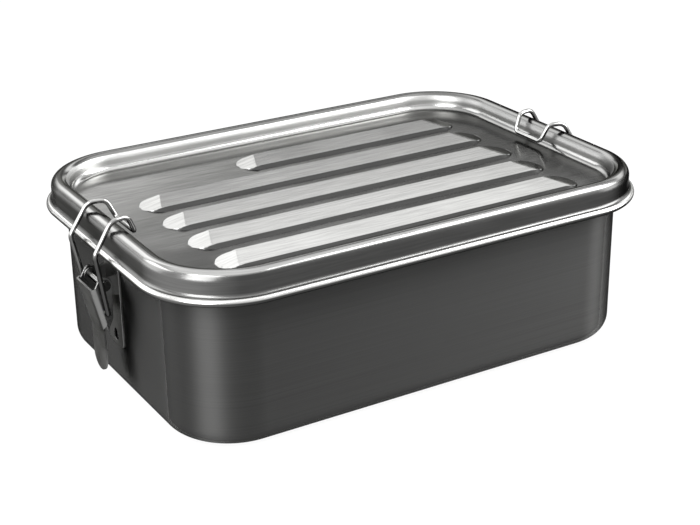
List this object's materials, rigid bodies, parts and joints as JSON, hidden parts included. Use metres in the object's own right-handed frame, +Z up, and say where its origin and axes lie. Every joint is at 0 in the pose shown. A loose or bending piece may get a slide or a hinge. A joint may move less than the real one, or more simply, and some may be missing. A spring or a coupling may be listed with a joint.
{
  "type": "metal lunch box",
  "caption": "Rectangular steel lunch box with a ribbed lid, a sealing ring and a wire-bail over-centre latch on each short end.",
  "frame": {"origin": "centre of the tray's flat base, on the surface it stands on", "axes": "+X along the box towards the right-hand latch, +Y towards the back long side, +Z up"},
  "size_m": [0.2374, 0.1602, 0.0806],
  "materials": {
    "tray_steel": "brushed along the box",
    "lid_steel": "brushed along the box, polished rims",
    "latch_steel": "satin",
    "wire_steel": "polished",
    "silicone": "matt"
  },
  "bodies": {
    "tray": {"tray": "tray_steel", "left_bracket": "latch_steel", "left_hinge_pin": "wire_steel", "right_bracket": "latch_steel", "right_hinge_pin": "wire_steel"},
    "lid": {"lid": "lid_steel", "lid_seal": "silicone"},
    "left_lever": {"left_lever": "latch_steel"},
    "left_bail": {"left_bail": "wire_steel"},
    "right_lever": {"right_lever": "latch_steel"},
    "right_bail": {"right_bail": "wire_steel"}
  },
  "joints": [
    {"name": "left_lever_swing", "type": "hinge", "parent": "tray", "child": "left_lever", "pos_m": [-0.113, 0, 0.0515], "axis": [0, 1, 0], "range_deg": [0, 135]},
    {"name": "left_bail_swing", "type": "hinge", "parent": "left_lever", "child": "left_bail", "pos_m": [-0.113, 0, 0.0395], "axis": [0, -1, 0], "range_deg": [0, 105.5]},
    {"name": "right_lever_swing", "type": "hinge", "parent": "tray", "child": "right_lever", "pos_m": [0.113, 0, 0.0515], "axis": [0, -1, 0], "range_deg": [0, 135]},
    {"name": "right_bail_swing", "type": "hinge", "parent": "right_lever", "child": "right_bail", "pos_m": [0.113, 0, 0.0395], "axis": [0, 1, 0], "range_deg": [0, 105.5]},
    {"name": "lid_lift", "type": "slide", "parent": "tray", "child": "lid", "axis": [0, 0, 1], "range_m": [0, 0.0045]}
  ],
  "couplings": [
    {"joint": "left_bail_swing", "follows": "left_lever_swing", "ratio": 0.78},
    {"joint": "right_lever_swing", "follows": "left_lever_swing", "ratio": 1},
    {"joint": "right_bail_swing", "follows": "left_lever_swing", "ratio": 0.78},
    {"joint": "lid_lift", "follows": "left_lever_swing", "m_per_rad": 0.001909}
  ]
}
